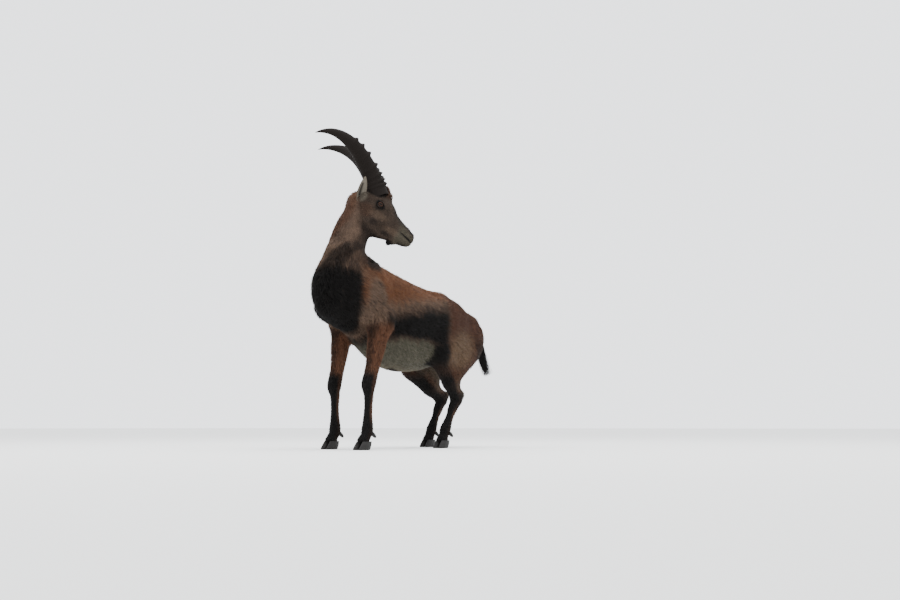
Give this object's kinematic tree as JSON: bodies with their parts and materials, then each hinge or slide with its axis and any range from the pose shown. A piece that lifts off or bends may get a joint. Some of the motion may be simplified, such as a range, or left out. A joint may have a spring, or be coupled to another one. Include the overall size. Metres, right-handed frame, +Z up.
{
  "type": "alpine ibex figure",
  "caption": "Life-size still figure of a young male alpine ibex, standing with hindquarters low and looking back over its left shoulder.",
  "frame": {"origin": "on the floor, under the middle of the bounding box", "axes": "+X to the front of the trunk, +Y to the animal's left, +Z up; the head is turned to the left and back"},
  "size_m": [1.1936, 0.4628, 1.2893],
  "materials": {
    "coat": "short brown coat of hair",
    "tuft": "long black hair",
    "ear": "short hair, pale inside the cup",
    "horn": "dull ridged horn",
    "hoof": "dull black horn",
    "eye": "wet dark brown"
  },
  "bodies": {
    "root": {"dewclaw_foreleg_left_inner": "hoof", "dewclaw_foreleg_left_outer": "hoof", "dewclaw_foreleg_right_inner": "hoof", "dewclaw_foreleg_right_outer": "hoof", "dewclaw_hindleg_left_inner": "hoof", "dewclaw_hindleg_left_outer": "hoof", "dewclaw_hindleg_right_inner": "hoof", "dewclaw_hindleg_right_outer": "hoof", "ear_left": "ear", "ear_right": "ear", "eye_left": "eye", "eye_right": "eye", "foreleg_left_lower": "coat", "foreleg_left_upper": "coat", "foreleg_right_lower": "coat", "foreleg_right_upper": "coat", "head": "coat", "hindleg_left_lower": "coat", "hindleg_left_upper": "coat", "hindleg_right_lower": "coat", "hindleg_right_upper": "coat", "hoof_foreleg_left_inner": "hoof", "hoof_foreleg_left_outer": "hoof", "hoof_foreleg_right_inner": "hoof", "hoof_foreleg_right_outer": "hoof", "hoof_hindleg_left_inner": "hoof", "hoof_hindleg_left_outer": "hoof", "hoof_hindleg_right_inner": "hoof", "hoof_hindleg_right_outer": "hoof", "horn_left": "horn", "horn_right": "horn", "neck": "coat", "tail": "tuft", "torso": "coat"}
  },
  "joints": []
}
